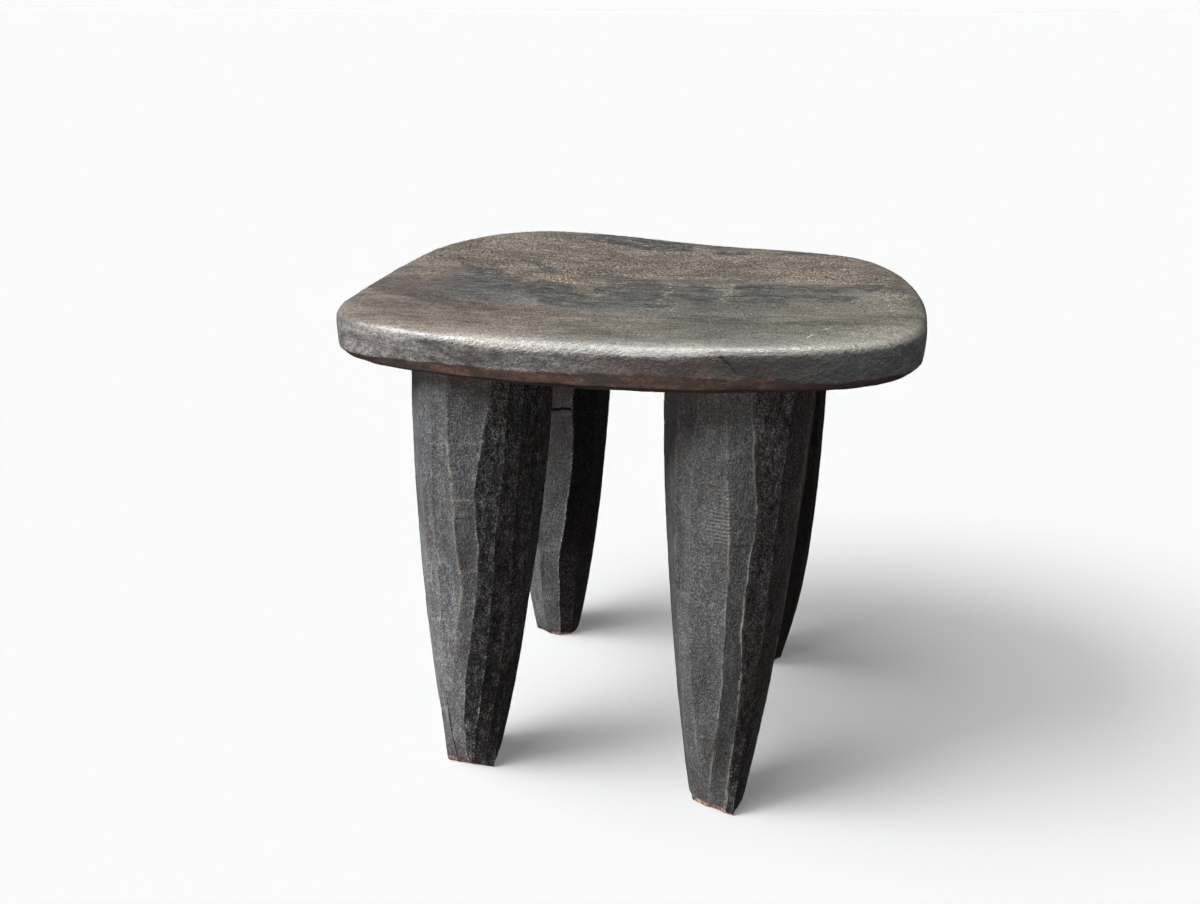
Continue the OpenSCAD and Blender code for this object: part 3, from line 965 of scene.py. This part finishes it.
def leg_corners(leg, heights, centre, radius, ridges):
    """Places of each ridge seen from above: round by the frame's radius, and squarish near the foot."""
    foot_angle, foot_radius = np.array(leg["foot"], float).T
    foot_share = np.clip(1 - heights / FOOT_BLEND_HEIGHT, 0, 1) ** 1.5
    low_slimming, high_slimming = leg.get("slimmed", (0, 0))
    slimming = low_slimming + (high_slimming - low_slimming) * ease(heights, 40, 260)
    corners = []
    for line in ridges:
        wanted = np.interp(line, foot_angle, foot_radius, period=360)
        reach = radius * RIDGE_REACH
        reach = reach + (wanted - reach[0]) * foot_share
        turn = np.radians(line)
        corner = centre + reach[:, None] * np.stack([np.cos(turn), np.sin(turn)], axis=1)
        corner[:, 0] -= slimming * np.maximum(np.cos(turn), 0) ** 2
        corners.append(corner)
    return corners


def leg_wall(leg, heights, ridges, corners):
    """Columns of points up the wall, several across each facet and closer together near the ridges.

    Returns the points, and for each its distance to the nearest ridge, that ridge's number and how
    high the tool's stroke leaves it, from -1 at the deepest.
    """
    columns, to_ridge, nearest_ridge, tones = [], [], [], []
    for k, line in enumerate(ridges):
        following = ridges[(k + 1) % len(ridges)] + (360 if k + 1 == len(ridges) else 0)
        count = max(6, round((following - line).mean() / COLUMN_DEGREES))
        start, end = corners[k], corners[(k + 1) % len(corners)]
        width = np.linalg.norm(end - start, axis=1)
        cut = strokes(heights, leg["seed"] * 100 + k)
        out = np.stack([end[:, 1] - start[:, 1], start[:, 0] - end[:, 0]], axis=1) / width[:, None]
        for j in range(count):
            across = 0.5 - 0.5 * math.cos(math.pi * j / count)
            across = 0.35 * j / count + 0.65 * across
            bulge = 4 * across * (1 - across)
            place = start + (end - start) * across
            place = place + out * ((cut - 0.1) * bulge**0.35)[:, None]
            columns.append(np.column_stack([place, heights]))
            to_ridge.append(np.minimum(across, 1 - across) * width)
            nearest_ridge.append(np.full(len(heights), (k + (across > 0.5)) % len(ridges)))
            tones.append(cut / (STROKE_HOLLOW + STROKE_OFFSET))
    return [np.stack(values, axis=1) for values in (columns, to_ridge, nearest_ridge, tones)]


def closing(ring, shares):
    """Copies of a ring that shrink towards its middle."""
    middle = ring.mean(0)
    return [middle + (ring - middle) * share for share in shares]


def leg_crack(centre, heights, radius):
    """Ends of the back left leg's crack, on the leg's wall."""
    ends = []
    for height, angle in LEG_CRACK:
        x, y = (np.interp(height, heights, centre[:, k]) for k in (0, 1))
        reach = np.interp(height, heights, radius)
        turn = math.radians(angle)
        ends.append((x + reach * math.cos(turn), y + reach * math.sin(turn), height))
    return ends


def build_leg(node, material):
    """One leg: a wall of hollow tool strokes between its ridges, closed at the sole and inside the seat."""
    leg = LEGS[node]
    seed = leg["seed"]
    sole_centre, top_centre, radius_factors = leg_axis(node_points(node))
    height = top_centre[2] + LEG_INTO_SEAT
    heights = np.concatenate([[0, 0.3, 0.7], np.arange(ROW_STEP, height - ROW_STEP / 2, ROW_STEP), [height]])
    if node in FINE_ROWS:
        low, high = FINE_ROWS[node]
        outside = (heights < low) | (heights > high)
        heights = np.sort(np.concatenate([heights[outside], np.arange(low, high, FINE_ROW_STEP)]))
    share = heights / top_centre[2]
    centre = sole_centre[:2] + share[:, None] * (top_centre[:2] - sole_centre[:2])
    radius = np.polyval(radius_factors, np.minimum(heights, top_centre[2]))
    ridges = ridge_lines(leg, heights)
    corners = leg_corners(leg, heights, centre, radius, ridges)
    wall, to_ridge, nearest_ridge, tones = leg_wall(leg, heights, ridges, corners)

    # The sole and the hidden top close the form with rings that shrink to the middle
    sole_rings = closing(wall[0], (0.15, 0.35, 0.55, 0.75, 0.9))
    top_rings = closing(wall[-1], (0.8, 0.5, 0.2))
    rings = sole_rings + list(wall) + top_rings
    points = np.concatenate(rings)
    index = np.arange(len(points)).reshape(len(rings), -1)
    lower, upper = index[:-1], index[1:]
    quads = np.stack([lower, np.roll(lower, -1, 1), np.roll(upper, -1, 1), upper], axis=-1).reshape(-1, 4)
    faces = quads.tolist() + [index[0, ::-1].tolist(), index[-1].tolist()]
    outward = normals(points, quads)
    sole_count = index[: len(sole_rings)].size
    top_count = index[-len(top_rings) :].size

    def spread(values):
        """The wall's values, with zeros for the closing rings before and after."""
        return np.concatenate([np.zeros(sole_count), values.ravel(), np.zeros(top_count)])

    def beside_ridge(width):
        """1 on the ridges, falling off over a width in mm."""
        return spread(np.exp(-((to_ridge / width) ** 2)))

    ridge_number = spread(nearest_ridge).astype(int)
    on_wall = spread(np.ones_like(to_ridge))
    z = points[:, 2]
    centre_x, centre_y = (np.interp(z, heights, centre[:, k]) for k in (0, 1))
    angle = np.degrees(np.arctan2(points[:, 1] - centre_y, points[:, 0] - centre_x))

    # Shape: rounded ridges, roughness, a worn and chipped foot, a slight spread under the seat
    shift = -0.14 * beside_ridge(RIDGE_ROUNDING) * (0.8 + 0.8 * noise(points, 12, seed + 61))
    shift += 0.11 * rough(points, (6, 6, 11), seed + 62, 3)
    shift += 0.06 * noise(points, (1.9, 1.9, 3), seed + 66)
    shift -= ease(z, 1.6, 0) * (0.5 + 0.5 * noise(points, 4, seed + 67)) * on_wall
    chips = np.clip(rough(points, (7, 7, 3.2), seed + 70, 3), 0, 1) * ease(z, 5, 1)
    shift -= 1.3 * chips * on_wall
    shift += 1.2 * ease(z, height - 9, height) ** 2 * on_wall
    masks = {"ripple": np.zeros(len(points)), "crack": np.zeros(len(points))}
    if node == "leg_front_right":
        zone = ease(z, 184, 192) * ease(z, 236, 200) * ease(angle, -114, -100) * ease(angle, -84, -89)
        warped = z + 0.9 * noise(points, 7, 83) + 0.02 * angle
        wave = np.sin(2 * np.pi * warped / RIPPLE_LENGTH)
        shift += 0.22 * zone * wave * on_wall
        masks["ripple"] = zone * ease(wave + 0.5 * noise(points, (5, 5, 3), 89), 0, 1) * on_wall
    if node == "leg_back_left":
        wandering = points + 0.8 * np.stack([0 * z, 0 * z, noise(points, 5, 91)], axis=1)
        masks["crack"] = ease(segment_distance(wandering, leg_crack(centre, heights, radius)), 1.5, 0.5)
        shift -= 0.8 * masks["crack"]
    points = points + outward * shift[:, None]
    points[:, 2] = np.maximum(points[:, 2], 0)
    points[:sole_count, 2] = 0

    # Pale ridges: worn ones, and on one ridge of the front right leg a painted highlight along its right
    # edge
    wear_and_highlight_level = 0.05 + 0.2 * noise(points, (30, 30, 46), seed + 75)
    patchy = 0.75 + 0.7 * noise(points, (6, 6, 14), seed + 76)
    for ridge, (low, high, strength) in leg.get("worn", {}).items():
        worn = np.maximum(wear_and_highlight_level, strength * patchy * within(z, low, high, PALE_RIDGE_FADE))
        wear_and_highlight_level = np.where(ridge_number == ridge, worn, wear_and_highlight_level)
    masks["wear_and_highlight"] = np.clip(beside_ridge(PALE_RIDGE_HALF_WIDTH) * wear_and_highlight_level, 0, 0.9) * on_wall
    # A broad painted highlight along a ridge
    if "broad_worn" in leg:
        ridge, low, high, strength = leg["broad_worn"]
        broad = strength * within(z, low, high, PALE_RIDGE_FADE) * beside_ridge(BROAD_HIGHLIGHT_HALF_WIDTH)
        masks["wear_and_highlight"] = np.maximum(masks["wear_and_highlight"], broad * (ridge_number == ridge) * on_wall)

    # Bare wood at the foot
    chance = 0.35 + 0.8 * noise(points, (9, 9, 3), seed + 79)
    if "chipped" in leg:
        start, end = leg["chipped"]
        chance += 0.9 * within(angle, start, end, 8)
    masks["bare"] = np.clip(ease(z, 5.5, 2.0) * chance, 0, 1) * on_wall

    # Lightness by height and stroke, the dark side away from the key light (painted shade with soot pools),
    # and where the skin is scratched or scored
    low_tone, high_tone = leg["lightness"]
    masks["tone"] = low_tone + (high_tone - low_tone) * ease(z, 40, 240)
    masks["tone"] *= 1 + 0.2 * spread(tones)
    # Painted shade on the side away from the key light, from a ridge round to an angle
    ridge, end, strength = leg["soot_and_painted_shade"]
    start = np.interp(z, heights, ridges[ridge])
    masks["soot_and_painted_shade"] = strength * ease(angle, start - 3, start + 3) * ease(angle, end + 20, end - 20)
    masks["soot_and_painted_shade"] *= 1 - (1 - leg.get("soot_and_shade_at_foot", 1)) * ease(z, 100, 60)
    # Painted shade: where it is strongest, the leg's colour is darker still
    masks["tone"] *= 1 - 0.75 * np.clip(masks["soot_and_painted_shade"] - 1, 0, 1)
    masks["scratched"] = np.full(len(points), 0.08)
    if "scratched" in leg:
        start, end, low, high = leg["scratched"]
        zone = within(angle, start, end, 10) * ease(z, low - 25, low + 10) * ease(z, high + 25, high - 10)
        masks["scratched"] += 0.9 * zone
        masks["tone"] *= 1 + 0.35 * zone
    masks["scored"] = np.full(len(points), 1.0 if node == "leg_front_left" else 0.0)
    return add_piece(node.replace("leg_", "carved_leg_"), points, faces, masks, material, node)


def add_sun(name, origin, width, strength, colour):
    """A distant soft light; width is how wide it looks in degrees."""
    light = bpy.data.lights.new(name, "SUN")
    light.energy = strength
    light.color = colour
    light.angle = math.radians(width)
    holder = bpy.data.objects.new(name, light)
    holder.rotation_euler = Vector(origin).to_track_quat("Z", "Y").to_euler()
    bpy.context.scene.collection.objects.link(holder)
    return holder


def build_floor():
    """A wide pale sheet that glows a little and throws no light on the stool."""
    half = FLOOR_SIZE / 2000
    corners = [(-half, -half, 0), (half, -half, 0), (half, half, 0), (-half, half, 0)]
    mesh = bpy.data.meshes.new("floor")
    mesh.from_pydata(corners, [], [(0, 1, 2, 3)])
    floor = bpy.data.objects.new("floor", mesh)
    bpy.context.scene.collection.objects.link(floor)
    material = bpy.data.materials.new("floor_paper")
    material.use_nodes = True
    surface = material.node_tree.nodes["Principled BSDF"]
    surface.inputs["Base Color"].default_value = (FLOOR_REFLECTANCE,) * 3 + (1.0,)
    surface.inputs["Roughness"].default_value = 0.9
    surface.inputs["Specular IOR Level"].default_value = 0.0
    surface.inputs["Emission Color"].default_value = (1.0, 1.0, 1.0, 1.0)
    surface.inputs["Emission Strength"].default_value = FLOOR_GLOW
    mesh.materials.append(material)
    floor.visible_diffuse = False
    floor.visible_glossy = False
    return floor


def build_lights(floor, seat, legs):
    """A soft key light for everything, a light for the floor alone, and four for the seat alone."""
    suns = {name: add_sun(name, *values) for name, values in SUNS.items()}
    suns["key"].visible_glossy = False
    receivers = {"floor_light": floor, "overhead": seat, "behind": seat, "left": seat, "right": seat}
    for name, thing in receivers.items():
        lit = bpy.data.collections.new(name + "_receiver")
        lit.objects.link(thing)
        suns[name].light_linking.receiver_collection = lit
    # Only the legs throw a shadow in the floor's light
    shading = bpy.data.collections.new("floor_light_blockers")
    for leg in legs:
        shading.objects.link(leg)
    suns["floor_light"].light_linking.blocker_collection = shading


def build_world():
    """The fill and bounce light, behind a white backdrop that only the camera sees."""
    world = bpy.data.worlds.new("studio")
    world.use_nodes = True
    bpy.context.scene.world = world
    tree = world.node_tree
    fill = tree.nodes["Background"]
    fill.inputs["Color"].default_value = FILL_COLOUR
    toward = add_node(tree, "TexCoord").outputs["Generated"]
    facing = add_node(tree, "VectorMath", {0: toward, 1: BOUNCE_FROM}, operation="DOT_PRODUCT")
    amount = add_node(tree, "MapRange", {
        "Value": facing.outputs["Value"],
        "From Min": BOUNCE_LIMIT,
        "To Min": FILL_STRENGTH,
        "To Max": FILL_STRENGTH + BOUNCE_STRENGTH,
    })
    tree.links.new(amount.outputs[0], fill.inputs["Strength"])
    backdrop = add_node(tree, "Background", {"Color": (1, 1, 1, 1), "Strength": BACKDROP_STRENGTH})
    camera_ray = add_node(tree, "LightPath").outputs["Is Camera Ray"]
    choose = add_node(tree, "MixShader", {0: camera_ray, 1: fill.outputs[0], 2: backdrop.outputs[0]})
    tree.links.new(choose.outputs[0], tree.nodes["World Output"].inputs["Surface"])
    bpy.context.scene.view_settings.view_transform = "Standard"


def build_camera():
    """A camera at the place that the photo was taken from."""
    camera = bpy.data.cameras.new("camera")
    camera.lens = CAMERA_LENS
    camera.sensor_width = CAMERA_SENSOR
    camera.sensor_fit = "HORIZONTAL"
    camera.clip_end = 1000
    holder = bpy.data.objects.new("camera", camera)
    turn = Matrix.Rotation(math.radians(CAMERA_YAW), 4, "Z")
    tip = Matrix.Rotation(math.radians(90 - CAMERA_PITCH), 4, "X")
    roll = Matrix.Rotation(math.radians(CAMERA_ROLL), 4, "Z")
    place = Matrix.Translation([v / 1000 for v in CAMERA_PLACE])
    holder.matrix_world = place @ turn @ tip @ roll
    bpy.context.scene.collection.objects.link(holder)
    bpy.context.scene.camera = holder


build_camera()
leg_wood = leg_finish()
seat = build_seat()
legs = [build_leg(node, leg_wood) for node in LEGS]
build_lights(build_floor(), seat, legs)
build_world()
